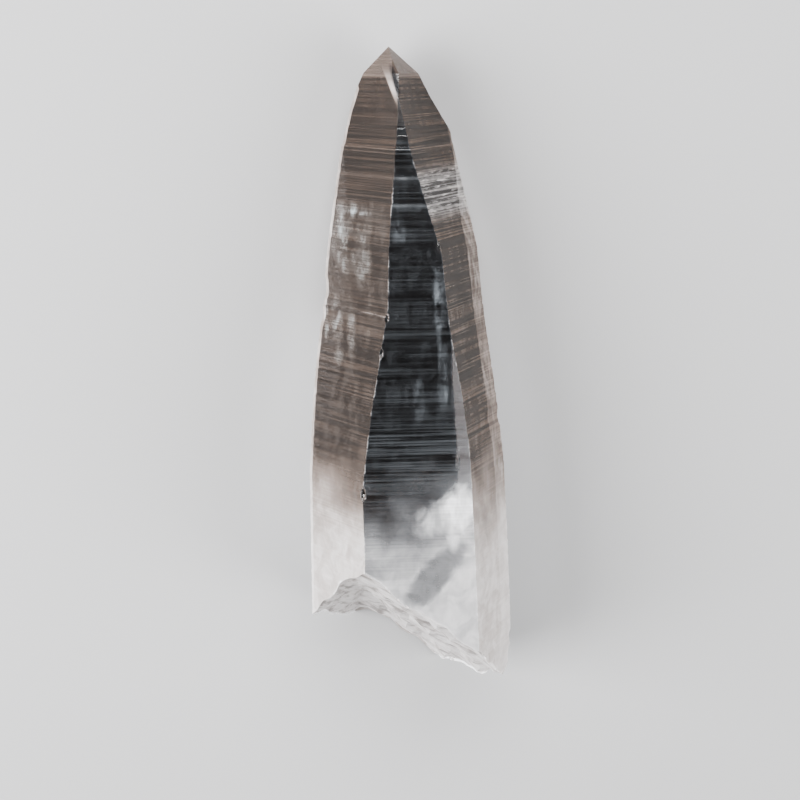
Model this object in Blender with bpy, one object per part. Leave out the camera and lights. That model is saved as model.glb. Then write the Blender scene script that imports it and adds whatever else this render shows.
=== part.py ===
"""A lemurian quartz crystal: one tapering six-sided point, lying on its flat back face.

The crystal is drawn upright first, with its long axis along +Z and its front towards -Y. At any height its
section is a hexagon whose six sides keep their directions, so the whole form follows from six distances
between the axis and the faces. Each distance changes with height in small ledges, which are the growth lines.
The foot is a broken surface, cut off by a second solid, and shell-shaped chips are cut from the edges.
The finished crystal is then laid down: +Y along it towards the tip, +X across it, +Z up, origin on the surface.
"""

import math
import random

import bmesh
import bpy
from mathutils import Matrix, Vector, noise

MM = 0.001

# Driving dimensions, in millimetres. Heights run up the long axis from its foot.
TIP_HEIGHT = 99.8
TIP_X, TIP_FRONT = -1.65, 0.6
BACK_FOOT, BACK_END_HEIGHT, BACK_END = 13.2, 88.0, 6.5
MERGE_DISTANCE = 0.002

# Each face: the direction it looks in, in degrees from the front towards +X, and its distance from the axis at
# each height where its slope changes. Above the last height it runs straight to the tip.
FACES = {
    "front": (0, ((0, 13.0), (30, 12.2), (50, 11.4), (70, 9.6), (85, 7.4), (93, 5.8), (96, 4.4), (98, 3.4))),
    "front_right": (60, ((0, 15.2), (15, 15.0), (30, 14.2), (45, 13.2), (52, 12.2), (62, 10.2), (72, 8.8),
                         (85, 4.5), (93, 2.2), (96.2, 1.6))),
    "back_right": (120, ((0, 12.6), (18, 13.4), (40, 12.8), (52, 11.5), (65, 11.0), (80, 10.5), (88, 10.1),
                         (91, 8.5), (94, 5.8))),
    "back": (180, ((0, BACK_FOOT), (BACK_END_HEIGHT, BACK_END))),
    "back_left": (240, ((0, 10.8), (22, 11.1), (55, 11.4), (70, 10.7), (85, 9.1), (91, 7.7), (96, 5.6))),
    "front_left": (300, ((0, 11.5), (40, 11.5), (50, 10.3), (56, 9.1), (65, 7.4), (72, 6.9), (85, 5.0),
                         (91, 3.9), (96.2, 3.5))),
}
SMOOTH_FACE = "back"

# Growth lines: a short ledge steps in from the face's own slope, and the face then climbs back out to it by the
# next line. The main ones run round every face but the smooth one, and one is deeper on the left. Near the tip the
# faces are smooth.
MAIN_LINES = (47.0, 50.8, 54.5, 63.5, 78.7, 82.2, 86.1)
MAIN_LEDGE_DEPTH = 0.08
DEEP_LEDGES = {("front_left", 63.5): 0.10, ("back_left", 63.5): 0.18}
LINE_SPACING = (0.8, 1.9)
LEDGE_SHARE = 0.25
LEDGE_DEPTH = (0.02, 0.07)
SHALLOW_FACE, SHALLOW_SHARE = "front", 0.4
LINE_ON_FACE = 0.75
LINES_END = 90.5
LINES_SEED = 11

# The broken foot: a long oblique plane, a shorter one at the back left and a small one across the lowest corner,
# with shell-like waves on all three. Each plane is a height on the axis and its slopes along x and to the front.
BREAK_SIDE = 40.0
BREAK_CELLS = 30
BREAK_PLANE = (17.5, -0.72, 0.46)
BREAK_CORNER = (24.0, 0.45, 0.65)
BREAK_LOW_CORNER = (-9.5, 1.23, 0.3)
WAVE_CENTRE = (-12.0, -9.0)
WAVE_LENGTH, WAVE_HEIGHT = 5.2, 0.30
ROUGH_LENGTH, ROUGH_HEIGHT = 2.6, 0.9

# Chips: the edge that each sits on, named by the faces on both sides, its height and its half sizes. Each is
# scooped out by a ball that stands proud of the edge by a share of its own depth.
CHIP_PROUD = 0.45
CHIPS = (
    ("back_left", "front_left", 65.8, (0.9, 0.7, 2.2)),
    ("back_left", "front_left", 62.2, (0.7, 0.6, 1.5)),
    ("front_left", "front", 63.6, (0.6, 0.5, 0.7)),
    ("front_left", "front", 58.9, (0.5, 0.5, 0.8)),
    ("front_left", "front", 39.3, (0.8, 0.6, 1.3)),
    ("front_left", "front_right", 91.0, (0.5, 0.6, 1.4)),
    ("front", "front_right", 73.4, (0.5, 0.5, 0.9)),
    ("front_right", "back_right", 47.6, (0.9, 0.8, 1.5)),
    ("front_right", "back_right", 14.2, (0.9, 0.8, 1.3)),
    ("front_right", "back_right", 10.6, (1.3, 1.2, 3.0)),
    ("back_right", "back", 40.0, (0.8, 0.8, 1.8)),
    ("back", "back_left", 55.0, (0.7, 0.7, 1.4)),
)

QUARTZ_COLOUR = (0.80, 0.77, 0.75, 1.0)
QUARTZ_ROUGHNESS = 0.12
QUARTZ_IOR = 1.55


def clear_scene():
    for old in list(bpy.data.objects):
        bpy.data.objects.remove(old)


def collection(name, shown=True):
    made = bpy.data.collections.new(name)
    bpy.context.scene.collection.children.link(made)
    made.hide_render = not shown
    return made


def quartz_material():
    material = bpy.data.materials.new("clear quartz")
    material.use_nodes = True
    shader = material.node_tree.nodes["Principled BSDF"]
    shader.inputs["Base Color"].default_value = QUARTZ_COLOUR
    shader.inputs["Roughness"].default_value = QUARTZ_ROUGHNESS
    shader.inputs["Metallic"].default_value = 0.0
    shader.inputs["IOR"].default_value = QUARTZ_IOR
    shader.inputs["Transmission Weight"].default_value = 1.0
    return material


def facing(name):
    """The level direction that a face looks in, as x and how far to the front."""
    angle = math.radians(FACES[name][0])
    return math.sin(angle), math.cos(angle)


def distance(name, height):
    """How far a face lies from the axis at a height, before any growth lines."""
    side, front = facing(name)
    stations = FACES[name][1] + ((TIP_HEIGHT, side * TIP_X + front * TIP_FRONT),)
    for (low, at_low), (high, at_high) in zip(stations, stations[1:]):
        if height <= high:
            return at_low + (at_high - at_low) * (height - low) / (high - low)
    return stations[-1][1]


def line_heights(chance):
    """The heights of the growth lines, from the foot up."""
    heights, height = [], 0.0
    while height < LINES_END:
        if all(abs(height - line) > LINE_SPACING[0] for line in MAIN_LINES):
            heights.append(height)
        height += chance.uniform(*LINE_SPACING)
    return sorted((*heights, *MAIN_LINES, LINES_END))


def stepped_profile(name, lines, chance):
    """(height, distance) pairs up a face: at each growth line a ledge steps in, and the face climbs out again."""
    if name == SMOOTH_FACE:
        return [(height, distance(name, height)) for height in (lines[0], BACK_END_HEIGHT, LINES_END)]
    profile = [(lines[0], distance(name, lines[0]))]
    for low, high in zip(lines[1:], lines[2:]):
        if low not in MAIN_LINES and chance.random() > LINE_ON_FACE:
            continue
        ledge = low + (high - low) * LEDGE_SHARE
        depth = MAIN_LEDGE_DEPTH if low in MAIN_LINES else chance.uniform(*LEDGE_DEPTH)
        if name == SHALLOW_FACE:
            depth *= SHALLOW_SHARE
        profile.append((low, distance(name, low)))
        profile.append((ledge, distance(name, ledge) - DEEP_LEDGES.get((name, low), depth)))
    return profile + [(LINES_END, distance(name, LINES_END))]


def read_profile(profile, height):
    for (low, at_low), (high, at_high) in zip(profile, profile[1:]):
        if height <= high:
            return at_low + (at_high - at_low) * (height - low) / (high - low)
    return profile[-1][1]


def corner(first, second, distances):
    """Where two faces would meet at one height, as x and how far to the front."""
    (ax, af), (bx, bf) = facing(first), facing(second)
    cross = ax * bf - af * bx
    return (
        (distances[first] * bf - distances[second] * af) / cross,
        (distances[second] * ax - distances[first] * bx) / cross,
    )


def is_hidden(name, before, after, distances):
    """Whether a face has died out at this height, because its two neighbours meet in front of it."""
    turn = (FACES[after][0] - FACES[before][0]) % 360
    if turn >= 180:
        return False
    side, front = facing(name)
    x, to_front = corner(before, after, distances)
    return side * x + front * to_front <= distances[name]


def section(distances):
    """The six corners of one level section. Where a face has died out, its two corners fall together."""
    live = list(FACES)
    for name in FACES:
        place = live.index(name)
        if is_hidden(name, live[place - 1], live[(place + 1) % len(live)], distances):
            live.remove(name)
    corners = []
    for name in FACES:
        held = max((other for other in live if FACES[other][0] <= FACES[name][0]),
                   key=lambda other: FACES[other][0], default=live[-1])
        after = live[(live.index(held) + 1) % len(live)]
        corners.append(corner(held, after, distances))
    return corners


def upright(x, to_front, height):
    return Vector((x, -to_front, height)) * MM


def crystal_sections():
    """(height, six corners) for every section from the foot to just under the tip."""
    chance = random.Random(LINES_SEED)
    lines = line_heights(chance)
    profiles = {name: stepped_profile(name, lines, chance) for name in FACES}
    kinks = {height for profile in profiles.values() for height, _ in profile}
    kinks |= {height for _, stations in FACES.values() for height, _ in stations if height > LINES_END}
    sections = []
    for height in sorted(kinks):
        if height <= LINES_END:
            distances = {name: read_profile(profile, height) for name, profile in profiles.items()}
        else:
            distances = {name: distance(name, height) for name in FACES}
        sections.append((height, section(distances)))
    return sections


def loft_crystal():
    """The whole crystal above its foot, as rings of six corners closed by the tip."""
    mesh = bmesh.new()
    rings = [
        [mesh.verts.new(upright(x, to_front, height)) for x, to_front in corners]
        for height, corners in crystal_sections()
    ]
    tip = mesh.verts.new(upright(TIP_X, TIP_FRONT, TIP_HEIGHT))
    for lower, upper in zip(rings, rings[1:]):
        for side in range(len(lower)):
            after = (side + 1) % len(lower)
            mesh.faces.new((lower[side], lower[after], upper[after], upper[side]))
    for side in range(len(rings[-1])):
        mesh.faces.new((rings[-1][side], rings[-1][(side + 1) % len(rings[-1])], tip))
    mesh.faces.new(list(reversed(rings[0])))
    bmesh.ops.remove_doubles(mesh, verts=mesh.verts, dist=MERGE_DISTANCE * MM)
    bmesh.ops.triangulate(mesh, faces=mesh.faces)
    bmesh.ops.recalc_face_normals(mesh, faces=mesh.faces)
    data = bpy.data.meshes.new("uncut_crystal")
    mesh.to_mesh(data)
    mesh.free()
    return data


def plane_height(plane, x, to_front):
    return plane[0] + plane[1] * x + plane[2] * to_front


def break_height(x, to_front):
    """The height of the broken surface under a point of the section."""
    planes = min(plane_height(BREAK_PLANE, x, to_front), plane_height(BREAK_CORNER, x, to_front))
    planes = max(planes, plane_height(BREAK_LOW_CORNER, x, to_front))
    reach = math.hypot(x - WAVE_CENTRE[0], to_front - WAVE_CENTRE[1])
    waves = WAVE_HEIGHT * math.sin(2 * math.pi * reach / WAVE_LENGTH)
    rough = ROUGH_HEIGHT * noise.noise(Vector((x, to_front, 0)) / ROUGH_LENGTH)
    return planes + waves + rough


def break_cutter():
    """The stone below the broken surface, as a block whose top is that surface."""
    mesh = bmesh.new()
    bmesh.ops.create_grid(mesh, x_segments=BREAK_CELLS, y_segments=BREAK_CELLS, size=BREAK_SIDE / 2 * MM)
    for vertex in mesh.verts:
        vertex.co.z = break_height(vertex.co.x / MM, -vertex.co.y / MM) * MM
    skirt = bmesh.ops.extrude_face_region(mesh, geom=mesh.faces[:])["geom"]
    for vertex in (item for item in skirt if isinstance(item, bmesh.types.BMVert)):
        vertex.co.z = -BREAK_SIDE * MM
    bmesh.ops.recalc_face_normals(mesh, faces=mesh.faces)
    data = bpy.data.meshes.new("break_cutter")
    mesh.to_mesh(data)
    mesh.free()
    return data


def chip_cutter(index, first, second, height, half_sizes):
    """A shell-shaped scoop, centred just outside the edge between two faces."""
    distances = {name: distance(name, height) for name in FACES}
    x, to_front = corner(first, second, distances)
    outwards = Vector((x, to_front)).normalized()
    out = CHIP_PROUD * half_sizes[0]
    mesh = bmesh.new()
    bmesh.ops.create_icosphere(mesh, subdivisions=2, radius=1.0)
    turn = Matrix.Rotation(math.atan2(-outwards.y, outwards.x), 4, "Z")
    place = Matrix.Translation(upright(x + out * outwards.x, to_front + out * outwards.y, height))
    stretch = Matrix.Diagonal((*(half * MM for half in half_sizes), 1.0))
    bmesh.ops.transform(mesh, matrix=place @ turn @ stretch, verts=mesh.verts)
    data = bpy.data.meshes.new(f"chip_cutter_{index}")
    mesh.to_mesh(data)
    mesh.free()
    return data


def add_guide(data, guides):
    """An object that only shapes the crystal, so it is shown as wires and never rendered."""
    guide = bpy.data.objects.new(data.name, data)
    guide.hide_render = True
    guide.display_type = "WIRE"
    guides.objects.link(guide)
    return guide


def cut(crystal, cutter):
    modifier = crystal.modifiers.new(cutter.name, "BOOLEAN")
    modifier.operation = "DIFFERENCE"
    modifier.object = cutter


def laid_down(upright_crystal):
    """Turns the upright mesh so that its back face lies on the surface, and centres it over the origin."""
    lean = math.atan2(BACK_FOOT - BACK_END, BACK_END_HEIGHT)
    evaluated = upright_crystal.evaluated_get(bpy.context.evaluated_depsgraph_get())
    data = bpy.data.meshes.new_from_object(evaluated)
    data.transform(Matrix.Rotation(-math.radians(90) - lean, 4, "X"))
    xs, ys, zs = ([vertex.co[axis] for vertex in data.vertices] for axis in range(3))
    data.transform(Matrix.Translation((-(min(xs) + max(xs)) / 2, -(min(ys) + max(ys)) / 2, -min(zs))))
    return data


def main():
    clear_scene()
    parts = collection("lemurian quartz crystal")
    guides = collection("guides", shown=False)
    uncut = add_guide(loft_crystal(), guides)
    cut(uncut, add_guide(break_cutter(), guides))
    for index, chip in enumerate(CHIPS):
        cut(uncut, add_guide(chip_cutter(index, *chip), guides))
    bpy.context.view_layer.update()
    crystal = bpy.data.objects.new("lemurian_quartz_crystal", laid_down(uncut))
    crystal.data.materials.clear()
    crystal.data.materials.append(quartz_material())
    parts.objects.link(crystal)


main()
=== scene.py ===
"""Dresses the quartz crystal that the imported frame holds, and lights and frames it for a still picture."""

import math
from functools import cached_property
from typing import NamedTuple

import bmesh
import bpy
from bpy.props import FloatProperty, FloatVectorProperty, PointerProperty
from mathutils import Matrix, Vector


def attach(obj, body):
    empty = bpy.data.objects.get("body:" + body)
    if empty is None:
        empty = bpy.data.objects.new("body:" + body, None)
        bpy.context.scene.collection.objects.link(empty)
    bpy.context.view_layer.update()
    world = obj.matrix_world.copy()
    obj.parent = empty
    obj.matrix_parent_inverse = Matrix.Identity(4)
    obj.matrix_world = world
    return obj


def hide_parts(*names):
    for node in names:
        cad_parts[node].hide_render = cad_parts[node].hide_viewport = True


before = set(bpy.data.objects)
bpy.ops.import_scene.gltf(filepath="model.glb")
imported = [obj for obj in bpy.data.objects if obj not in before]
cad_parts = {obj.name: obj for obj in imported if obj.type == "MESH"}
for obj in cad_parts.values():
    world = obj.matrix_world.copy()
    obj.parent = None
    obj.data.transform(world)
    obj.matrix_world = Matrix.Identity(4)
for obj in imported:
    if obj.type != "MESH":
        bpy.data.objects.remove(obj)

bl_info = {
    "name": "Quartz Crystal",
    "version": (1, 0, 0),
    "blender": (4, 5, 0),
    "location": "3D View > Sidebar > Quartz",
    "description": "A clear, finely striated quartz point with a milky broken foot",
    "category": "Object",
}

MM = 0.001
CRYSTAL = "lemurian_quartz_crystal"

# The long axis leans down into the surface that the crystal lies on, because its back face tapers towards it.
BACK_FOOT, BACK_END, BACK_END_HEIGHT = 13.2, 6.5, 88.0
LEAN = math.atan2(BACK_FOOT - BACK_END, BACK_END_HEIGHT)
TIP_HEIGHT, TIP_X, TIP_FRONT = 99.8, -1.65, 0.6

UP = Vector((0, math.cos(LEAN), -math.sin(LEAN)))
FRONT = Vector((0, math.sin(LEAN), math.cos(LEAN)))
ACROSS = Vector((1, 0, 0))

# How steeply the main break of the foot slants down to the right.
BREAK_SLANT = math.radians(32)


def foot_point():
    """The point on the long axis at height 0, found from the crystal's tip."""
    tip = max((vertex.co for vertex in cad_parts[CRYSTAL].data.vertices), key=lambda co: co.y)
    return tip - (ACROSS * TIP_X + FRONT * TIP_FRONT + UP * TIP_HEIGHT) * MM


FOOT = foot_point()


def crystal_point(x, to_front, height):
    return FOOT + (ACROSS * x + FRONT * to_front + UP * height) * MM


# ---------------------------------------------------------------- node building


class Socket:
    """An output socket of a node tree, with arithmetic that adds Math nodes."""

    def __init__(self, tree, output):
        self.tree, self.output = tree, output

    def math(self, operation, *values, clamp=False):
        node = self.tree.add("ShaderNodeMath", {"operation": operation, "use_clamp": clamp}, self, *values)
        return Socket(self.tree, node.outputs[0])

    def __add__(self, other):
        return self.math("ADD", other)

    def __sub__(self, other):
        return self.math("SUBTRACT", other)

    def __mul__(self, other):
        return self.math("MULTIPLY", other)

    def __truediv__(self, other):
        return self.math("DIVIDE", other)

    def __radd__(self, other):
        return self + other

    def __rmul__(self, other):
        return self * other

    def __rsub__(self, other):
        return self.tree.out("ShaderNodeMath", {"operation": "SUBTRACT"}, other, self)

    def away_from(self, middle):
        return (self - middle).math("ABSOLUTE")

    def swing(self, size):
        """A pattern between 0 and 1, turned into a swing of a given size around 0."""
        return (self - 0.5) * size

    def clamped(self):
        return self.math("ADD", 0.0, clamp=True)


class Tree:
    """Adds nodes to a shader or geometry tree from their type, settings and socket values."""

    def __init__(self, nodes, links):
        self.nodes, self.links = nodes, links

    def add(self, kind, settings, *values, **named):
        node = self.nodes.new(kind)
        for name, value in settings.items():
            setattr(node, name, value)
        for index, value in enumerate(values):
            self.feed(node.inputs[index], value)
        for name, value in named.items():
            self.feed(node.inputs[name.replace("_", " ")], value)
        return node

    def feed(self, socket, value):
        if isinstance(value, Socket):
            self.links.new(value.output, socket)
        elif isinstance(value, bpy.types.NodeSocket):
            self.links.new(value, socket)
        elif value is not None:
            socket.default_value = value

    def out(self, kind, settings, *values, **named):
        """The first output of a node."""
        return Socket(self, self.add(kind, settings, *values, **named).outputs[0])

    def between(self, value, low, high):
        """0 at low, 1 at high and a smooth ramp in between."""
        settings = {"interpolation_type": "SMOOTHSTEP", "clamp": True}
        return self.out("ShaderNodeMapRange", settings, Value=value, From_Min=low, From_Max=high)

    def vector(self, operation, *values):
        return self.out("ShaderNodeVectorMath", {"operation": operation}, *values)

    def blend(self, share, first, second):
        """A mix of two colours."""
        node = self.add("ShaderNodeMix", {"data_type": "RGBA"})
        inputs = [socket for socket in node.inputs if socket.type == "RGBA"]
        self.feed(node.inputs[0], share)
        self.feed(inputs[0], first)
        self.feed(inputs[1], second)
        return Socket(self, next(output for output in node.outputs if output.type == "RGBA"))

    def principled(self, **named):
        return self.add("ShaderNodeBsdfPrincipled", {}, **named)


# ---------------------------------------------------------------- places on the crystal


# The direction in which a place looks tells which face it is on. Each pair is where a face begins to count
# and where it counts in full.
FRONT_FACE = (0.85, 0.95)
SIDE_FACE, SIDE_FACE_FRONTWARDS, SIDE_FACE_BACKWARDS = (0.6, 0.8), (0.2, 0.4), (-0.2, -0.4)
LEFT_FACE, LEFT_FACE_AND_EDGE, RIGHT_FACE = (-0.5, -0.8), (-0.2, -0.6), (0.5, 0.8)
RESTING_FACE, ALL_BUT_RESTING = (-0.85, -0.95), (-0.97, -0.9)
BROKEN_FACE = (-0.45, -0.6)
PRISM_FACE = (0.75, 0.55)


class Noise(NamedTuple):
    """The make-up of a noise pattern."""

    scale: float
    detail: float
    rough: float
    warp: float = 0.0


class Grain(NamedTuple):
    """A noise pattern stretched along the crystal, and the values where it starts and where it is full."""

    across: float
    along: float
    noise: Noise
    limits: tuple = (0.0, 1.0)


class Spot(NamedTuple):
    """A soft oval on the crystal: its middle and half sizes in millimetres, its tilt and its cover."""

    x: float
    height: float
    half_width: float
    half_height: float
    tilt: float = 0.0
    cover: float = 1.0


class Band(NamedTuple):
    """A level band: its height and reach in millimetres, its cover, and what the front face adds to it."""

    height: float
    reach: float
    cover: float
    front_cover: float = 0.0


class Lines(NamedTuple):
    """Growth lines: how far apart and how long they are, in millimetres, and a seed."""

    spacing: float
    length: float
    seed: float


# The shape of one growth line: the share of its height that each flank takes, the share of its length over
# which it fades, its faintest strength, and how much its place depends on the depth and on chance.
LINE_FLANK, LINE_FADE, LINE_FAINTEST = 0.45, 0.35, 0.2
LINE_DEPTH_SHARE, LINE_SCATTER = 0.7, 9.0


def crystal_place(tree, position):
    """A position in millimetres along the crystal's own directions: across, up its length, to the front."""
    from_foot = tree.vector("SUBTRACT", position, FOOT)
    scaled = tree.vector("MULTIPLY", from_foot, (1 / MM, 1 / MM, 1 / MM))
    return tree.out("ShaderNodeVectorRotate", {"rotation_type": "X_AXIS"}, Vector=scaled, Angle=LEAN)


def split(tree, vector):
    node = tree.add("ShaderNodeSeparateXYZ", {}, vector)
    return [Socket(tree, output) for output in node.outputs]


def join(tree, *values):
    return tree.out("ShaderNodeCombineXYZ", {}, *values)


def dot(tree, vector, direction):
    node = tree.add("ShaderNodeVectorMath", {"operation": "DOT_PRODUCT"}, vector, direction)
    return Socket(tree, node.outputs["Value"])


def attribute(tree, name, output):
    node = tree.add("ShaderNodeAttribute", {"attribute_type": "GEOMETRY", "attribute_name": name})
    return Socket(tree, node.outputs[output])


def over(*layers):
    """How much of the surface thin layers laid over one another cover."""
    bare = 1.0 - layers[0]
    for layer in layers[1:]:
        bare = bare * (1.0 - layer)
    return bare.tree.out("ShaderNodeMath", {"operation": "SUBTRACT", "use_clamp": True}, 1.0, bare)


class Surface:
    """A place on the crystal, the face that it is on, and the patterns that are found there."""

    def __init__(self, tree, position, facing):
        self.tree = tree
        self.place = crystal_place(tree, position)
        self.x, self.height, self.front = split(tree, self.place)
        self.across = split(tree, facing)[0]
        self.along = dot(tree, facing, UP)
        self.to_front = dot(tree, facing, FRONT)

    # The faces

    @cached_property
    def front_face(self):
        return self.tree.between(self.to_front, *FRONT_FACE)

    @cached_property
    def off_middle(self):
        """The four faces that look left or right."""
        return self.tree.between(self.across.math("ABSOLUTE"), *SIDE_FACE)

    @cached_property
    def side_faces(self):
        """The two faces beside the front one."""
        return self.off_middle * self.tree.between(self.to_front, *SIDE_FACE_FRONTWARDS)

    @cached_property
    def back_sides(self):
        """The two faces beside the back one."""
        return self.off_middle * self.tree.between(self.to_front, *SIDE_FACE_BACKWARDS)

    @cached_property
    def left(self):
        return self.tree.between(self.across, *LEFT_FACE)

    @cached_property
    def left_and_edge(self):
        return self.tree.between(self.across, *LEFT_FACE_AND_EDGE)

    @cached_property
    def right(self):
        return self.tree.between(self.across, *RIGHT_FACE)

    @cached_property
    def resting(self):
        """The face that the crystal lies on."""
        return self.tree.between(self.to_front, *RESTING_FACE)

    @cached_property
    def striated(self):
        """The faces with growth lines: all that run up the crystal but the one it lies on."""
        prism = self.tree.between(self.along.math("ABSOLUTE"), *PRISM_FACE)
        return prism * self.tree.between(self.to_front, *ALL_BUT_RESTING)

    @cached_property
    def broken(self):
        """The broken surface of the foot."""
        return self.tree.between(self.along, *BROKEN_FACE)

    # The patterns

    def noise(self, place, noise):
        settings = {"noise_dimensions": "3D"}
        return self.tree.out(
            "ShaderNodeTexNoise", settings, Vector=place, Scale=noise.scale, Detail=noise.detail,
            Roughness=noise.rough, Distortion=noise.warp
        )

    def stretched(self, grain):
        """A noise pattern stretched along the crystal, as it comes."""
        place = self.tree.vector("MULTIPLY", self.place, (grain.across, grain.along, grain.across))
        return self.noise(place, grain.noise)

    def grain(self, grain):
        """A noise pattern stretched along the crystal, 0 where it starts and 1 where it is full."""
        return self.tree.between(self.stretched(grain), *grain.limits)

    def drawn_out(self, length):
        """The place, drawn out along the main break."""
        cos, sin = math.cos(BREAK_SLANT), math.sin(BREAK_SLANT)
        along = (self.x * cos - self.height * sin) / length
        return join(self.tree, along, self.x * sin + self.height * cos, self.front)

    def near(self, height, reach):
        """1 at a height, fading to 0 a reach away from it."""
        return self.tree.between(self.height.away_from(height), reach, 0.0)

    def spot(self, spot, ragged=None):
        """1 in the middle of a spot, fading to 0 at its rim."""
        tree, place, middle = self.tree, self.place, (spot.x, spot.height, 0)
        if spot.tilt:
            settings = {"rotation_type": "Z_AXIS"}
            place = tree.out("ShaderNodeVectorRotate", settings, Vector=place, Center=middle, Angle=-spot.tilt)
        scale = (1 / spot.half_width, 1 / spot.half_height, 0)
        offset = tree.vector("MULTIPLY", tree.vector("SUBTRACT", place, middle), scale)
        reach = dot(tree, offset, offset)
        if ragged is not None:
            reach = reach + ragged
        return tree.between(reach, 1.0, 0.0)

    def chance(self, *values):
        """A random value between 0 and 1 for each set of whole values."""
        place = join(self.tree, *values, 0.0)
        node = self.tree.add("ShaderNodeTexWhiteNoise", {"noise_dimensions": "3D"}, place)
        return Socket(self.tree, node.outputs["Value"])

    def growth_lines(self, lines, waver):
        """Level ridges of random strength, broken into lengths that fade at both ends."""
        between = self.tree.between
        level = (self.height + waver) / lines.spacing
        line, across_line = level.math("FLOOR"), level.math("FRACT")
        along = (self.x - self.front * self.across * LINE_DEPTH_SHARE) / lines.length
        along = along + self.chance(line, lines.seed) * LINE_SCATTER
        piece, along_piece = along.math("FLOOR"), along.math("FRACT")
        ridge = between(across_line, 0.0, LINE_FLANK) * between(across_line, 1.0, 1.0 - LINE_FLANK)
        ends = between(along_piece, 0.0, LINE_FADE) * between(along_piece, 1.0, 1.0 - LINE_FADE)
        return ridge * (LINE_FAINTEST + ends * self.chance(line, piece + lines.seed))


# ---------------------------------------------------------------- growth line geometry


# Edges sharper than this, in radians, part two faces. The outer ones are on faces that look far sideways.
SHARP_EDGE, OUTER_EDGE = 0.75, 0.9

WAVES = Grain(0.12, 0.6, Noise(0.9, 1.0, 0.5))
WAVES_FADE = 1.0
BREAK_DRAWN_OUT, BREAK_NOISE = 2.4, Noise(0.9, 5.0, 0.58)


def store(tree, geometry, name, value, kind="FLOAT", domain="POINT"):
    settings = {"data_type": kind, "domain": domain}
    return tree.out("GeometryNodeStoreNamedAttribute", settings, Geometry=geometry, Name=name, Value=value)


def distance_to(tree, geometry, edges):
    """How far each point is from the chosen edges, in millimetres."""
    kept = tree.add("GeometryNodeSeparateGeometry", {"domain": "EDGE"}, geometry, edges)
    near = tree.add("GeometryNodeProximity", {"target_element": "EDGES"})
    tree.feed(near.inputs[0], kept.outputs[0])
    return Socket(tree, near.outputs["Distance"]) * (1 / MM)


def greater(tree, value, limit):
    return tree.out("FunctionNodeCompare", {"data_type": "FLOAT", "operation": "GREATER_THAN"}, value, limit)


def group_inputs(group):
    """Gives the geometry tree its named inputs, and returns the tree and the inputs."""
    sockets = group.interface
    sockets.new_socket("Geometry", in_out="INPUT", socket_type="NodeSocketGeometry")
    for name, kind, default in (
        ("Subdivisions", "NodeSocketInt", 3),
        ("Wave Depth", "NodeSocketFloat", 0.02),
        ("Break Depth", "NodeSocketFloat", 0.5),
        ("Lines End", "NodeSocketFloat", 95.5),
    ):
        sockets.new_socket(name, in_out="INPUT", socket_type=kind).default_value = default
    sockets.new_socket("Material", in_out="INPUT", socket_type="NodeSocketMaterial")
    sockets.new_socket("Geometry", in_out="OUTPUT", socket_type="NodeSocketGeometry")
    tree = Tree(group.nodes, group.links)
    return tree, {output.name: Socket(tree, output) for output in tree.add("NodeGroupInput", {}).outputs}


def growth_line_tree():
    """A geometry tree that cuts fine growth lines into the faces and roughens the broken foot."""
    group = bpy.data.node_groups.new("growth lines", "GeometryNodeTree")
    tree, given = group_inputs(group)

    whole = given["Geometry"]
    normal = tree.out("GeometryNodeInputNormal", {})
    faced = store(tree, whole, "outward", normal, "FLOAT_VECTOR", "FACE")
    sharp = greater(tree, tree.out("GeometryNodeInputMeshEdgeAngle", {}), SHARP_EDGE)
    sideways = greater(tree, split(tree, normal)[0].math("ABSOLUTE"), OUTER_EDGE)
    outer = tree.out("FunctionNodeBooleanMath", {"operation": "AND"}, sharp, sideways)

    fine = tree.out("GeometryNodeSubdivideMesh", {}, faced, given["Subdivisions"])
    fine = store(tree, fine, "edge_distance", distance_to(tree, whole, sharp))
    fine = store(tree, fine, "rim_distance", distance_to(tree, whole, outer))

    outward = tree.out("GeometryNodeInputNamedAttribute", {"data_type": "FLOAT_VECTOR"}, Name="outward")
    at = Surface(tree, tree.out("GeometryNodeInputPosition", {}), outward)
    ends = tree.between(at.height, given["Lines End"], given["Lines End"] - WAVES_FADE)
    waves = at.stretched(WAVES) * given["Wave Depth"] * at.striated * ends
    rough = at.broken * at.noise(at.drawn_out(BREAK_DRAWN_OUT), BREAK_NOISE) * given["Break Depth"]
    inwards = (waves + rough) * -MM
    offset = tree.out("ShaderNodeVectorMath", {"operation": "SCALE"}, normal, Scale=inwards)
    moved = tree.out("GeometryNodeSetPosition", {}, fine, Offset=offset)
    realized = tree.out("GeometryNodeRealizeInstances", {}, moved)
    painted = tree.out("GeometryNodeSetMaterial", {}, realized, Material=given["Material"])
    tree.add("NodeGroupOutput", {}, painted)
    return group


def apply_tree(piece, group, values):
    """Runs a geometry tree on a piece and keeps its result as a plain mesh."""
    modifier = piece.modifiers.new(group.name, "NODES")
    modifier.node_group = group
    for item in group.interface.items_tree:
        if item.in_out == "INPUT" and item.name in values:
            modifier[item.identifier] = values[item.name]
    bpy.context.view_layer.update()
    evaluated = piece.evaluated_get(bpy.context.evaluated_depsgraph_get())
    made = bpy.data.meshes.new_from_object(evaluated)
    piece.modifiers.remove(modifier)
    piece.data = made


# ---------------------------------------------------------------- patterns in the quartz


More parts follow.
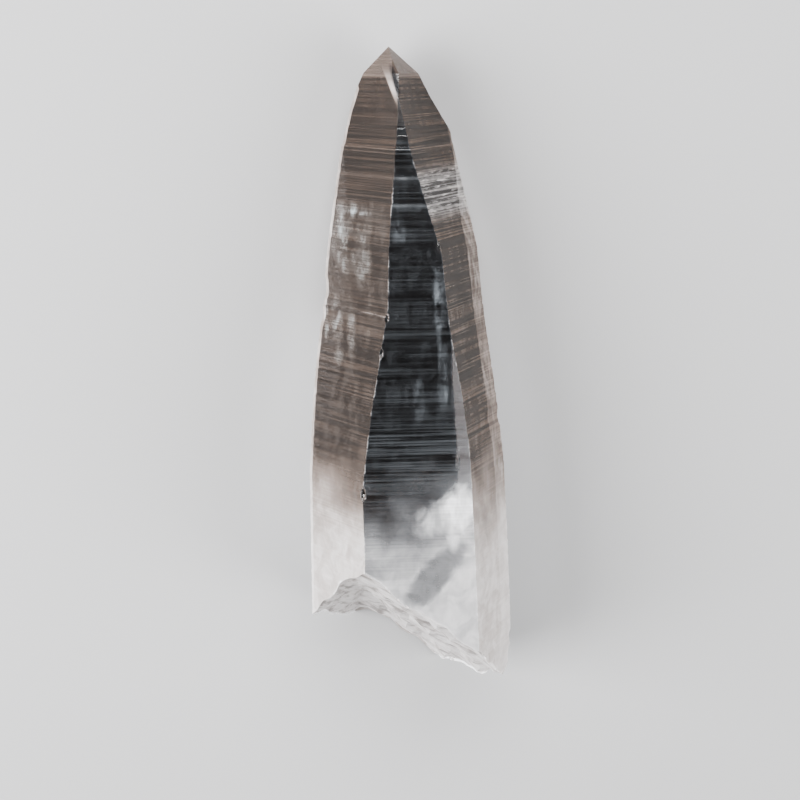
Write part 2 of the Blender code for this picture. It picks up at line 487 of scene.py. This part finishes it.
# Fine level hatching and the groups that it gathers in, upright streaks and fibres, and short level glints.
HATCH = Grain(0.010, 1.0, Noise(4.0, 1.0, 0.6), (0.40, 0.64))
HATCH_GROUPS = Grain(0.008, 1.0, Noise(0.33, 1.0, 0.5), (0.45, 0.62))
STREAKS = Grain(0.8, 0.14, Noise(0.8, 1.0, 0.5))
FIBRES = Grain(1.0, 0.34, Noise(0.9, 2.0, 0.6), (0.36, 0.70))
GLINTS = Grain(0.22, 1.6, Noise(1.5, 2.0, 0.6), (0.44, 0.66))
STEPS = Grain(0.10, 1.0, Noise(0.40, 1.0, 0.5), (0.30, 0.70))

# Small and large clouds.
WISPS, CLOUD = Noise(0.40, 2.0, 0.6, 0.6), Noise(0.13, 1.0, 0.5, 0.4)

# Close and wide growth lines, how much the wide ones add, and how far in millimetres both waver.
CLOSE_LINES, WIDE_LINES, WIDE_SHARE = Lines(0.38, 9.0, 3.0), Lines(0.57, 16.0, 8.0), 0.6
WAVER, WAVER_SIZE = Grain(0.05, 1.0, Noise(0.7, 0.0, 0.5)), 0.5

# How much of a milky pattern the hatching cuts into lines, and what the wisps are made of.
LINED = 0.2
WISP_LIMITS, WISP_CLOUD, WISP_FIBRES = (0.32, 0.74), 0.8, 0.3


class Patterns:
    """The growth lines, clouds and streaks that the quartz's layers are made of."""

    def __init__(self, at):
        waver = at.stretched(WAVER).swing(WAVER_SIZE)
        self.hatch = at.grain(HATCH)
        self.groups = at.grain(HATCH_GROUPS)
        close, wide = at.growth_lines(CLOSE_LINES, waver), at.growth_lines(WIDE_LINES, waver)
        self.striae = over(close, wide * WIDE_SHARE)
        self.streaks = at.stretched(STREAKS)
        self.fibres = at.grain(FIBRES)
        self.glints = at.grain(GLINTS)
        self.wisps = at.noise(at.place, WISPS)
        self.cloud = at.noise(at.place, CLOUD)
        self.lined = (1.0 - LINED) + self.hatch * LINED
        cloud = at.tree.between(self.wisps, *WISP_LIMITS)
        self.fibrous = (cloud * WISP_CLOUD + self.fibres * WISP_FIBRES) * self.lined


# ---------------------------------------------------------------- milky layers


# The milky foot: the heights where it is gone and whole, how its limit slants on the front face, drifts with
# the clouds and lies higher on the side faces, and how much it covers.
MILK_GONE, MILK_WHOLE = 42.0, 25.0
MILK_SLANT, MILK_DRIFT, MILK_SIDE_RISE = 0.40, 14.0, 4.0
MILK_COVER, MILK_FRONT_LOSS, MILK_WISPS, MILK_WISP_GAIN = 0.72, 0.06, (0.3, 0.7), 0.16
MILK_HATCHED, MILK_HATCH_LOSS, MILK_FIBRE_LOSS = (26.0, 38.0), 0.16, 0.08
WINDOW, WINDOW_RAGGED, WINDOW_SPREAD = Spot(3.6, 27.4, 2.0, 5.8, -0.70, 0.46), 1.2, 0.5

# The bright cloud on the front face, where the milky quartz begins.
FLASH = (
    Spot(7.0, 36.6, 3.0, 5.0, 0.0, 0.95),
    Spot(4.6, 35.6, 4.6, 3.0, 0.3, 0.55),
    Spot(6.2, 32.6, 1.2, 2.4, 0.0, 0.6),
)
FLASH_RAGGED, FLASH_PLAIN, FLASH_FIBRES, FLASH_HATCH = 1.6, 0.58, 0.28, 0.14

# Soft wisps on the left side face and on the front one, and the brighter cores in them.
LEFT_WISPS = (
    Spot(-8.2, 73.0, 1.7, 6.5), Spot(-7.6, 72.3, 1.2, 2.2), Spot(-5.8, 71.0, 1.5, 5.5),
    Spot(-6.7, 77.4, 2.8, 1.3), Spot(-9.0, 60.5, 0.9, 6.5), Spot(-7.2, 60.5, 0.8, 4.5),
)
# The last core, on the left rim, is a painted glint as well as a wisp.
LEFT_CORES = (
    Spot(-7.6, 72.3, 1.0, 1.2), Spot(-8.3, 75.4, 0.8, 1.8), Spot(-6.2, 77.3, 1.6, 0.6),
    Spot(-10.4, 61.5, 0.4, 3.5),
)
FRONT_WISPS = (
    Spot(4.4, 65.5, 1.2, 8.5), Spot(4.8, 55.5, 1.1, 6.0), Spot(0.2, 78.4, 3.4, 0.7),
    Spot(-1.2, 75.2, 1.5, 2.4), Spot(1.5, 52.0, 1.0, 4.0),
)
# The front cores are painted glints as well as brighter wisps.
FRONT_CORES = (Spot(4.0, 66.0, 0.5, 5.0), Spot(4.3, 60.5, 0.45, 3.5), Spot(5.2, 54.5, 0.4, 3.0))
LEFT_WISP_COVER, LEFT_CORE_COVER = 0.26, 0.45
FRONT_WISP_COVER, FRONT_CORE_COVER = 0.22, 0.35

# Milky patches: the height of the middle and the reach where they begin and are whole, the heights where they
# fade out towards the tip, the limits of the patterns that they are made of, and how much they cover.
PATCH_HEIGHT, PATCH_REACH, PATCH_END, BLOCK_END = 69.0, (13.0, 5.0), (82.0, 78.0), (80.0, 76.0)
PATCH_COLUMNS, PATCH_WISPS, PATCH_PLAIN = (0.36, 0.76), (0.25, 0.7), 0.4
HAZE_CLOUD, HAZE_WISPS, BLOCK_CLOUD = (0.35, 0.65), (0.2, 0.7), (0.35, 0.6)
PATCH_COVER, PATCH_MIDDLE_GAIN, HAZE_COVER, BLOCK_COVER = 0.04, 0.03, 0.03, 0.06


def milky_foot(at, seen):
    """The milky quartz that fills the foot, with a slanting upper limit and one clear window."""
    tree, front = at.tree, at.front_face
    level = at.height - at.x * front * MILK_SLANT + seen.cloud.swing(MILK_DRIFT) + seen.hatch.swing(front)
    level = level - at.side_faces * MILK_SIDE_RISE
    cover = MILK_COVER - front * MILK_FRONT_LOSS + tree.between(seen.wisps, *MILK_WISPS) * MILK_WISP_GAIN
    hatched = seen.hatch * tree.between(at.height, *MILK_HATCHED) * MILK_HATCH_LOSS
    body = tree.between(level, MILK_GONE, MILK_WHOLE) * cover * (1.0 - hatched)
    body = body * (1.0 - seen.fibres * MILK_FIBRE_LOSS)
    ragged = seen.wisps.swing(WINDOW_RAGGED) - WINDOW_SPREAD
    window = at.spot(WINDOW, ragged) * front * WINDOW.cover
    return body * (1.0 - window)


def lit_flash(at, seen):
    """The bright cloud on the front face."""
    ragged = seen.wisps.swing(FLASH_RAGGED)
    flash = over(*(at.spot(spot, ragged) * spot.cover for spot in FLASH))
    return flash * at.front_face * (FLASH_PLAIN + seen.fibres * FLASH_FIBRES + seen.hatch * FLASH_HATCH)


def wisps_at(at, seen, spots):
    """Soft fibrous wisps at given spots."""
    return over(*(at.spot(spot) for spot in spots)) * seen.fibrous


def milky_patches(at, seen):
    """Blocky white patches with upright streaks, mostly on the left side face's middle."""
    tree = at.tree
    middle = tree.between(at.height.away_from(PATCH_HEIGHT), *PATCH_REACH) * at.left_and_edge
    patch = tree.between(seen.streaks, *PATCH_COLUMNS) * (PATCH_PLAIN + at.grain(STEPS) * (1.0 - PATCH_PLAIN))
    patch = patch * tree.between(seen.wisps, *PATCH_WISPS) * seen.lined * tree.between(at.height, *PATCH_END)
    haze = tree.between(seen.cloud, *HAZE_CLOUD) * tree.between(seen.wisps, *HAZE_WISPS)
    lit = over(
        wisps_at(at, seen, LEFT_WISPS) * LEFT_WISP_COVER,
        wisps_at(at, seen, LEFT_CORES) * LEFT_CORE_COVER,
    )
    blocks = seen.fibres * tree.between(seen.cloud, *BLOCK_CLOUD) * tree.between(at.height, *BLOCK_END)
    return at.side_faces * over(
        patch * (PATCH_COVER + middle * PATCH_MIDDLE_GAIN),
        haze * middle * HAZE_COVER,
        blocks * BLOCK_COVER,
        lit * at.left_and_edge,
    )


# ---------------------------------------------------------------- lines and edges


# The thin film on the side faces, and the hatching on them, which is stronger on the right.
FILM_COVER, FILM_RIGHT_LOSS = 0.05, 0.025
SIDE_HATCH, SIDE_HATCH_GROUPS, SIDE_STREAKS, SIDE_HATCH_STREAKS = 0.06, 0.06, (0.4, 0.7), 0.05
RIGHT_HATCH_GAIN = 0.8

# Lines on the front face, which gather above the milky foot, and the lit cluster high on the right side face.
FRONT_STRIAE_LIMITS, FRONT_STRIAE, LOW_STRIAE = (0.35, 0.95), 0.03, 0.05
FRONT_HATCH, FRONT_HATCH_GROUPS, LOW_HATCH = 0.04, 0.05, 0.10
LOW_LINES_HEIGHT, LOW_LINES_REACH = 44.0, 9.0
CLUSTER_HEIGHT, CLUSTER_REACH, CLUSTER_HATCH, CLUSTER_COVER, CLUSTER_WHITE = 80.0, (4.5, 2.0), 0.25, 0.85, 0.8
SMEAR_LIMITS, SMEAR_COVER = (0.35, 0.6), 0.06

# Level bands right round, and the one at the deep ledge on the left, which is brighter from this x to that.
BANDS = (
    Band(78.7, 0.4, 0.0, 0.12), Band(82.3, 0.4, 0.12, 0.15), Band(86.1, 0.18, 0.15), Band(85.6, 0.15, 0.12)
)
LEDGE_BAND, LEDGE_LIT_X, LEDGE_LIT_COVER = Band(63.7, 0.22, 0.12), (-6.5, -5.0), 0.35
BAND_WISPS, BAND_PLAIN = (0.3, 0.55), 0.4

# The lit strip on the left of the tip's ridge: a place on it, its slope, its width, and where it is lit.
RIDGE_X, RIDGE_HEIGHT, RIDGE_SLOPE, RIDGE_WIDTH = -2.4, 96.1, 0.32, (-0.15, 0.1)
RIDGE_MIDDLE, RIDGE_REACH, RIDGE_COVER = 94.3, 3.2, 0.7

# The broken foot: its grain, the limits of the painted shade in its hollow places and of its white crests, and
# how much they cover.
BREAK_GRAIN_DRAWN_OUT, BREAK_GRAIN = 3.5, Noise(0.8, 5.0, 0.65, 0.3)
HOLLOW_SHADE, HOLLOW_SHADE_COVER = (0.48, 0.36), 0.5
CRESTS, BREAK_COVER, CREST_GAIN = (0.42, 0.60), 0.35, 0.5

# Worn edges with painted highlights: their width in millimetres, how the growth lines nick them, how much they
# cover, and how much of that is lost towards the tip.
LIT_WEAR_WIDTH, LIT_WEAR_NICKS, LIT_WEAR_MIDDLE = 0.18, 0.15, 0.4
LIT_WEAR_COVER, LIT_WEAR_WISPS, LIT_WEAR_WISP_GAIN = 0.06, (0.45, 0.65), 0.4
LIT_WEAR_END, LIT_WEAR_END_LOSS = (84.0, 86.0), 0.8

# Painted rim light along the crystal's outer edges, in millimetres, which is wide on the right below the tip.
RIM_WIDTH, RIM_RIGHT_GAIN, RIM_RIGHT_END, RIM_FADE, RIM_RAGGED = 0.6, 3.2, (86.0, 74.0), (1.12, 0.98), 0.15
RIM_COVER, RIM_RIGHT_LOSS, RIM_FIBRES = 0.5, 0.3, 0.2

# The tip, paler above these heights, and the painted reflection behind the foot: a white sheet on the back
# side faces.
TIP_PALE_HEIGHTS, TIP_COVER = (95.4, 95.9), 0.2
BACK_REFLECTION_HEIGHTS, BACK_REFLECTION_COVER = (66.0, 56.0), 0.9


def side_hatching(at, seen):
    """Fine level hatching on the side faces, stronger in groups and on the right."""
    streaks = at.tree.between(seen.streaks, *SIDE_STREAKS)
    cover = SIDE_HATCH + seen.groups * SIDE_HATCH_GROUPS + streaks * SIDE_HATCH_STREAKS
    return seen.hatch * at.side_faces * cover * (1.0 + at.right * RIGHT_HATCH_GAIN)


def level_lines(at, seen, cluster):
    """Growth lines on the front face and in the lit cluster."""
    low = at.near(LOW_LINES_HEIGHT, LOW_LINES_REACH) * at.front_face
    striae = at.tree.between(seen.striae, *FRONT_STRIAE_LIMITS)
    striae = striae * (at.front_face * FRONT_STRIAE + low * LOW_STRIAE)
    lit = cluster * over(seen.striae * seen.glints, seen.hatch * CLUSTER_HATCH) * CLUSTER_COVER
    hatching = FRONT_HATCH + seen.groups * FRONT_HATCH_GROUPS + low * LOW_HATCH
    return over(striae, lit, seen.hatch * at.front_face * hatching)


def front_smears(at, seen):
    """Faint upright fibres and wisps on the front face."""
    fibres = seen.fibres * at.tree.between(seen.wisps, *SMEAR_LIMITS) * at.front_face * SMEAR_COVER
    wisps = over(
        wisps_at(at, seen, FRONT_WISPS) * FRONT_WISP_COVER,
        wisps_at(at, seen, FRONT_CORES) * FRONT_CORE_COVER,
    )
    return over(fibres, wisps * at.front_face)


def growth_bands(at, seen):
    """Level bands where the growth lines are deepest."""
    bands = [
        at.near(band.height, band.reach) * (band.cover + at.front_face * band.front_cover) for band in BANDS
    ]
    lit = LEDGE_BAND.cover + at.tree.between(at.x, *LEDGE_LIT_X) * LEDGE_LIT_COVER
    bands.append(at.near(LEDGE_BAND.height, LEDGE_BAND.reach) * at.left * lit)
    return over(*bands) * (BAND_PLAIN + at.tree.between(seen.wisps, *BAND_WISPS) * (1.0 - BAND_PLAIN))


def lit_ridge(at):
    """The bright strip on the left of the tip's ridge."""
    beside = at.x - RIDGE_X - (RIDGE_HEIGHT - at.height) * RIDGE_SLOPE
    return at.tree.between(beside, *RIDGE_WIDTH) * at.near(RIDGE_MIDDLE, RIDGE_REACH) * at.left * RIDGE_COVER


def broken_foot(at):
    """The pale broken surface, and the painted shade in its hollow places."""
    grain = at.noise(at.drawn_out(BREAK_GRAIN_DRAWN_OUT), BREAK_GRAIN)
    pale = at.broken * (BREAK_COVER + at.tree.between(grain, *CRESTS) * CREST_GAIN)
    return pale, at.broken * at.tree.between(grain, *HOLLOW_SHADE) * HOLLOW_SHADE_COVER


def lit_worn_edges(at, seen):
    """White worn patches and painted highlights along the edges between the faces, less towards the tip."""
    nicked = attribute(at.tree, "edge_distance", "Fac") + (seen.striae - LIT_WEAR_MIDDLE) * LIT_WEAR_NICKS
    cover = LIT_WEAR_COVER + at.tree.between(seen.wisps, *LIT_WEAR_WISPS) * LIT_WEAR_WISP_GAIN
    cover = cover * (1.0 - at.tree.between(at.height, *LIT_WEAR_END) * LIT_WEAR_END_LOSS)
    return at.tree.between(nicked, LIT_WEAR_WIDTH, 0.0) * cover


def painted_rim_light(at, seen):
    """Painted rim light along the crystal's outer edges."""
    width = RIM_WIDTH + at.right * at.tree.between(at.height, *RIM_RIGHT_END) * RIM_RIGHT_GAIN
    ragged = attribute(at.tree, "rim_distance", "Fac") / width + seen.wisps * RIM_RAGGED
    cover = RIM_COVER - at.right * RIM_RIGHT_LOSS + seen.fibres * RIM_FIBRES
    return at.tree.between(ragged, *RIM_FADE) * cover


class Layers:
    """The pale layers over the clear quartz, painted light and shade among them, each as the share of the
    surface that it covers.
    """

    def __init__(self, at, seen):
        between = at.tree.between
        self.flash = lit_flash(at, seen)
        self.milk = over(milky_foot(at, seen), self.flash)
        self.patches = milky_patches(at, seen)
        self.film = at.side_faces * (FILM_COVER - at.right * FILM_RIGHT_LOSS)
        self.cluster = between(at.height.away_from(CLUSTER_HEIGHT), *CLUSTER_REACH) * at.right
        self.lines = level_lines(at, seen, self.cluster) * (1.0 - self.milk)
        self.hatching = side_hatching(at, seen)
        self.smears = front_smears(at, seen)
        self.bands = growth_bands(at, seen)
        self.ridge = lit_ridge(at)
        self.broken, self.hollow_shade = broken_foot(at)
        self.lit_wear = lit_worn_edges(at, seen)
        self.rim_light = painted_rim_light(at, seen)
        self.tip = between(at.height, *TIP_PALE_HEIGHTS) * TIP_COVER
        # A white sheet on the back side faces: a painted reflection.
        self.back = at.back_sides * between(at.height, *BACK_REFLECTION_HEIGHTS) * BACK_REFLECTION_COVER

    def white(self):
        """How much of the surface the white layers cover, painted highlights, rim light and reflection among
        them, apart from the patches.
        """
        cluster = self.cluster * CLUSTER_WHITE
        return over(
            self.milk, self.broken, self.lit_wear, self.rim_light, self.back, self.tip, self.bands, self.ridge, cluster
        )

    def all(self):
        return over(
            self.milk, self.patches, self.film, self.lines, self.hatching, self.bands, self.broken, self.lit_wear,
            self.rim_light, self.tip, self.back, self.smears, self.ridge
        )


# ---------------------------------------------------------------- material


QUARTZ_IOR = 1.54
FROST_ROUGHNESS, FROST_CLARITY = 0.5, 0.25
PATCH_COLOUR_GAIN = 2.5
# How much painted shade tints the side faces, how much more on the right, and the side faces' roughness.
SIDE_SHADE_SHARE, RIGHT_SHADE_GAIN, SIDE_ROUGHNESS = 0.80, 0.20, 0.06

# The chip on the tip's ridge gets painted shade: a dark matte colour with no shine.
CHIP, CHIP_SHADE_COLOUR = Spot(-1.15, 95.3, 0.5, 2.7, 0.24, 0.85), (0.03, 0.03, 0.033, 1)


def opaque(colour):
    return (*colour, 1)


def frosted(at, layers, finish, relief):
    """The milky, hatched and broken quartz, which scatters the light, with the painted highlights, reflection
    and shade.
    """
    blend = at.tree.blend
    colour = blend(at.front_face, opaque(finish.film_colour), opaque(finish.haze_colour))
    colour = blend((layers.patches * PATCH_COLOUR_GAIN).clamped(), colour, opaque(finish.patch_colour))
    colour = blend(layers.white(), colour, opaque(finish.frost_colour))
    # The bright cloud and the painted reflection behind the foot share one colour.
    colour = blend(over(layers.flash, layers.back), colour, opaque(finish.flash_and_reflection_colour))
    # Painted shade in the hollow places of the broken foot.
    colour = blend(layers.hollow_shade, colour, opaque(finish.side_shade_tint))
    return at.tree.principled(
        Base_Color=colour, Roughness=FROST_ROUGHNESS, IOR=QUARTZ_IOR, Transmission_Weight=FROST_CLARITY,
        Normal=relief
    )


def clear(at, finish, relief):
    """The clear quartz, with painted shade tinting the side faces, more on the right, and the face it rests
    on.
    """
    blend = at.tree.blend
    side = at.side_faces * (SIDE_SHADE_SHARE + at.right * RIGHT_SHADE_GAIN)
    tint = blend(side, opaque((1, 1, 1)), opaque(finish.side_shade_tint))
    # Painted shade: the face the crystal rests on is tinted dark, so the middle reads as shaded.
    tint = blend(at.resting, tint, opaque(finish.resting_shade_tint))
    roughness = finish.polish + at.side_faces * SIDE_ROUGHNESS
    return at.tree.principled(
        Base_Color=tint, Roughness=roughness, IOR=QUARTZ_IOR, Transmission_Weight=1.0, Normal=relief
    )


def quartz_material(finish):
    """Clear quartz under its pale layers, with painted shade on a chip near the tip and a little smoke inside.
    """
    material = bpy.data.materials.new("striated quartz")
    material.use_nodes = True
    tree = Tree(material.node_tree.nodes, material.node_tree.links)
    tree.nodes.clear()
    position = tree.add("ShaderNodeTexCoord", {}).outputs["Object"]
    at = Surface(tree, position, attribute(tree, "outward", "Vector"))
    seen = Patterns(at)
    layers = Layers(at, seen)

    relief = tree.out(
        "ShaderNodeBump", {}, Height=seen.hatch, Strength=finish.line_relief, Distance=finish.line_depth
    )
    quartz = tree.add(
        "ShaderNodeMixShader", {}, layers.all(), clear(at, finish, relief).outputs[0],
        frosted(at, layers, finish, relief).outputs[0]
    )
    shade = tree.principled(Base_Color=CHIP_SHADE_COLOUR, Roughness=1.0, Specular_IOR_Level=0.0)
    chip = at.spot(CHIP) * CHIP.cover
    surface = tree.out("ShaderNodeMixShader", {}, chip, quartz.outputs[0], shade.outputs[0])
    smoke = tree.out(
        "ShaderNodeVolumeAbsorption", {}, Color=opaque(finish.smoke_colour), Density=finish.smoke_density
    )
    tree.add("ShaderNodeOutputMaterial", {}, Surface=surface, Volume=smoke)
    return material


# ---------------------------------------------------------------- properties


class QUARTZ_PG_finish(bpy.types.PropertyGroup):
    polish: FloatProperty(name="Polish", description="Roughness of the clear faces", default=0.03)
    line_relief: FloatProperty(
        name="Line relief", description="Strength of the finest growth lines", default=0.10
    )
    line_depth: FloatProperty(
        name="Line depth", description="Depth of the finest growth lines", subtype="DISTANCE",
        default=0.06 * MM
    )
    haze_colour: FloatVectorProperty(
        name="Haze", description="Colour of the lines and wisps on the front face", subtype="COLOR",
        default=(0.38, 0.415, 0.45)
    )
    patch_colour: FloatVectorProperty(
        name="Patches", description="Colour of the milky patches", subtype="COLOR", default=(0.80, 0.87, 0.89)
    )
    film_colour: FloatVectorProperty(
        name="Film", description="Colour of the thin film on the side faces", subtype="COLOR",
        default=(0.46, 0.315, 0.235)
    )
    frost_colour: FloatVectorProperty(
        name="Frost", description="Colour of the milky quartz", subtype="COLOR", default=(0.84, 0.82, 0.82)
    )
    # The colour of the bright cloud in the foot and of the painted reflection behind it.
    flash_and_reflection_colour: FloatVectorProperty(
        name="Flash", description="Colour of the bright cloud in the foot", subtype="COLOR",
        default=(0.97, 0.98, 1.0)
    )
    # Painted shade on the side faces, also used in the hollow places of the broken foot.
    side_shade_tint: FloatVectorProperty(
        name="Side faces", description="Tint of the faces beside the front one", subtype="COLOR",
        default=(0.045, 0.023, 0.013)
    )
    # Painted shade on the face the crystal rests on.
    resting_shade_tint: FloatVectorProperty(
        name="Resting face", description="Tint of the shaded face it rests on", subtype="COLOR",
        default=(0.17, 0.18, 0.20)
    )
    smoke_colour: FloatVectorProperty(
        name="Smoke", description="What the clear quartz lets through", subtype="COLOR",
        default=(0.62, 0.60, 0.60)
    )
    smoke_density: FloatProperty(name="Smoke density", description="Absorption per metre", default=60.0)


class QUARTZ_PG_studio(bpy.types.PropertyGroup):
    floor_colour: FloatVectorProperty(
        name="Floor", description="Colour of the studio floor", subtype="COLOR", default=(0.45, 0.45, 0.455)
    )
    world_light: FloatProperty(name="World light", description="Strength of the even light", default=0.27)


# ---------------------------------------------------------------- operators


# Points closer than this, in millimetres, are one. Triangles are joined where they bend by less than this, on
# a level face or a broken one, and the corners of a joined face stay this near to square.
MERGE_DISTANCE = 0.001
LEVEL_BEND, BROKEN_BEND, SQUARE_CORNER = math.radians(5), math.radians(40), math.radians(90)

FLOOR_SIZE, FLOOR_DROP, FLOOR_ROUGHNESS = 2.0, 0.2, 0.9
CAMERA_TURN, CAMERA_RISE = math.radians(6), math.radians(12)
CAMERA_TARGET, CAMERA_DISTANCE = 50, 240
CAMERA_LENS, CAMERA_SENSOR, CAMERA_CLIP = 75, 36, 0.01


class Softbox(NamedTuple):
    """A soft light: its place and size in metres, and its power in watts."""

    name: str
    place: tuple
    size: tuple
    watts: float


SOFTBOX_TARGET = (0, 0, 0.01)
SOFTBOXES = (
    Softbox("left softbox", (-0.35, 0.0, 0.25), (0.3, 0.3), 3.0),
    Softbox("right softbox", (0.35, -0.1, 0.25), (0.3, 0.3), 1.6),
    Softbox("top softbox", (0.0, 0.35, 0.3), (0.4, 0.2), 1.6),
)


def join_level_faces(mesh):
    """Joins triangles in pairs where they are nearly level, and more freely on the broken foot."""
    broken = [face for face in mesh.faces if face.normal.dot(UP) < BROKEN_FACE[0]]
    bmesh.ops.join_triangles(
        mesh, faces=broken, angle_face_threshold=BROKEN_BEND, angle_shape_threshold=SQUARE_CORNER
    )
    smooth = [face for face in mesh.faces if face.normal.dot(UP) >= BROKEN_FACE[0] and len(face.verts) == 3]
    bmesh.ops.join_triangles(
        mesh, faces=smooth, angle_face_threshold=LEVEL_BEND, angle_shape_threshold=SQUARE_CORNER
    )


class QUARTZ_OT_crystal(bpy.types.Operator):
    """Makes the crystal from the frame's solid"""

    bl_idname = "quartz.crystal"
    bl_label = "Crystal"

    def execute(self, context):
        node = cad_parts[CRYSTAL]
        mesh = bmesh.new()
        mesh.from_mesh(node.data)
        bmesh.ops.remove_doubles(mesh, verts=mesh.verts, dist=MERGE_DISTANCE * MM)
        mesh.normal_update()
        join_level_faces(mesh)
        data = bpy.data.meshes.new("quartz_crystal")
        mesh.to_mesh(data)
        mesh.free()
        crystal = bpy.data.objects.new("quartz_crystal", data)
        context.scene.collection.objects.link(crystal)
        data.materials.clear()
        material = quartz_material(context.scene.quartz_finish)
        apply_tree(crystal, growth_line_tree(), {"Material": material})
        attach(crystal, "root")
        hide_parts(CRYSTAL)
        return {"FINISHED"}


def add_floor(scene, colour):
    mesh = bmesh.new()
    bmesh.ops.create_grid(mesh, x_segments=1, y_segments=1, size=FLOOR_SIZE)
    data = bpy.data.meshes.new("floor")
    mesh.to_mesh(data)
    mesh.free()
    floor = bpy.data.objects.new("floor", data)
    floor.location.z = -FLOOR_DROP * MM
    scene.collection.objects.link(floor)
    material = bpy.data.materials.new("pale floor")
    material.use_nodes = True
    shader = material.node_tree.nodes["Principled BSDF"]
    shader.inputs["Base Color"].default_value = opaque(colour)
    shader.inputs["Roughness"].default_value = FLOOR_ROUGHNESS
    data.materials.append(material)


def add_world(scene, strength):
    world = bpy.data.worlds.new("studio")
    world.use_nodes = True
    background = world.node_tree.nodes["Background"]
    background.inputs["Color"].default_value = (1, 1, 1, 1)
    background.inputs["Strength"].default_value = strength
    scene.world = world


def add_softbox(scene, softbox):
    data = bpy.data.lights.new(softbox.name, "AREA")
    data.shape = "RECTANGLE"
    data.size, data.size_y = softbox.size
    data.energy = softbox.watts
    light = bpy.data.objects.new(softbox.name, data)
    light.location = softbox.place
    aim = Vector(SOFTBOX_TARGET) - Vector(softbox.place)
    light.rotation_euler = aim.to_track_quat("-Z", "Y").to_euler()
    scene.collection.objects.link(light)


def add_camera(scene):
    """A camera in front of the crystal's middle, a little to the left of it and above it."""
    back = -ACROSS * math.sin(CAMERA_TURN) * math.cos(CAMERA_RISE) + UP * math.sin(CAMERA_RISE)
    back += FRONT * math.cos(CAMERA_TURN) * math.cos(CAMERA_RISE)
    right = ACROSS * math.cos(CAMERA_TURN) + FRONT * math.sin(CAMERA_TURN)
    above = back.cross(right)
    data = bpy.data.cameras.new("camera")
    data.lens = CAMERA_LENS
    data.sensor_width = CAMERA_SENSOR
    data.clip_start = CAMERA_CLIP
    camera = bpy.data.objects.new("camera", data)
    place = crystal_point(0, 0, CAMERA_TARGET) + back * CAMERA_DISTANCE * MM
    camera.matrix_world = Matrix.Translation(place) @ Matrix((right, above, back)).transposed().to_4x4()
    scene.collection.objects.link(camera)
    scene.camera = camera


class QUARTZ_OT_studio(bpy.types.Operator):
    """Sets up the floor, the lights and the camera"""

    bl_idname = "quartz.studio"
    bl_label = "Studio"

    def execute(self, context):
        scene = context.scene
        add_floor(scene, scene.quartz_studio.floor_colour)
        add_world(scene, scene.quartz_studio.world_light)
        for softbox in SOFTBOXES:
            add_softbox(scene, softbox)
        add_camera(scene)
        scene.view_settings.look = "AgX - High Contrast"
        return {"FINISHED"}


class QUARTZ_PT_sidebar(bpy.types.Panel):
    """Lists the crystal's pieces and the studio"""

    bl_label = "Quartz crystal"
    bl_space_type = "VIEW_3D"
    bl_region_type = "UI"
    bl_category = "Quartz"

    def draw(self, context):
        layout = self.layout
        for operator in OPERATORS:
            layout.operator(operator.bl_idname)


GROUPS = {"quartz_finish": QUARTZ_PG_finish, "quartz_studio": QUARTZ_PG_studio}
OPERATORS = (QUARTZ_OT_crystal, QUARTZ_OT_studio)


def register():
    for group in GROUPS.values():
        bpy.utils.register_class(group)
    for name, group in GROUPS.items():
        setattr(bpy.types.Scene, name, PointerProperty(type=group))
    for operator in OPERATORS:
        bpy.utils.register_class(operator)
    bpy.utils.register_class(QUARTZ_PT_sidebar)


def unregister():
    bpy.utils.unregister_class(QUARTZ_PT_sidebar)
    for operator in reversed(OPERATORS):
        bpy.utils.unregister_class(operator)
    for name, group in GROUPS.items():
        delattr(bpy.types.Scene, name)
        bpy.utils.unregister_class(group)


def main():
    register()
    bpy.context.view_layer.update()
    bpy.ops.quartz.crystal()
    bpy.ops.quartz.studio()


if __name__ == "__main__":
    main()
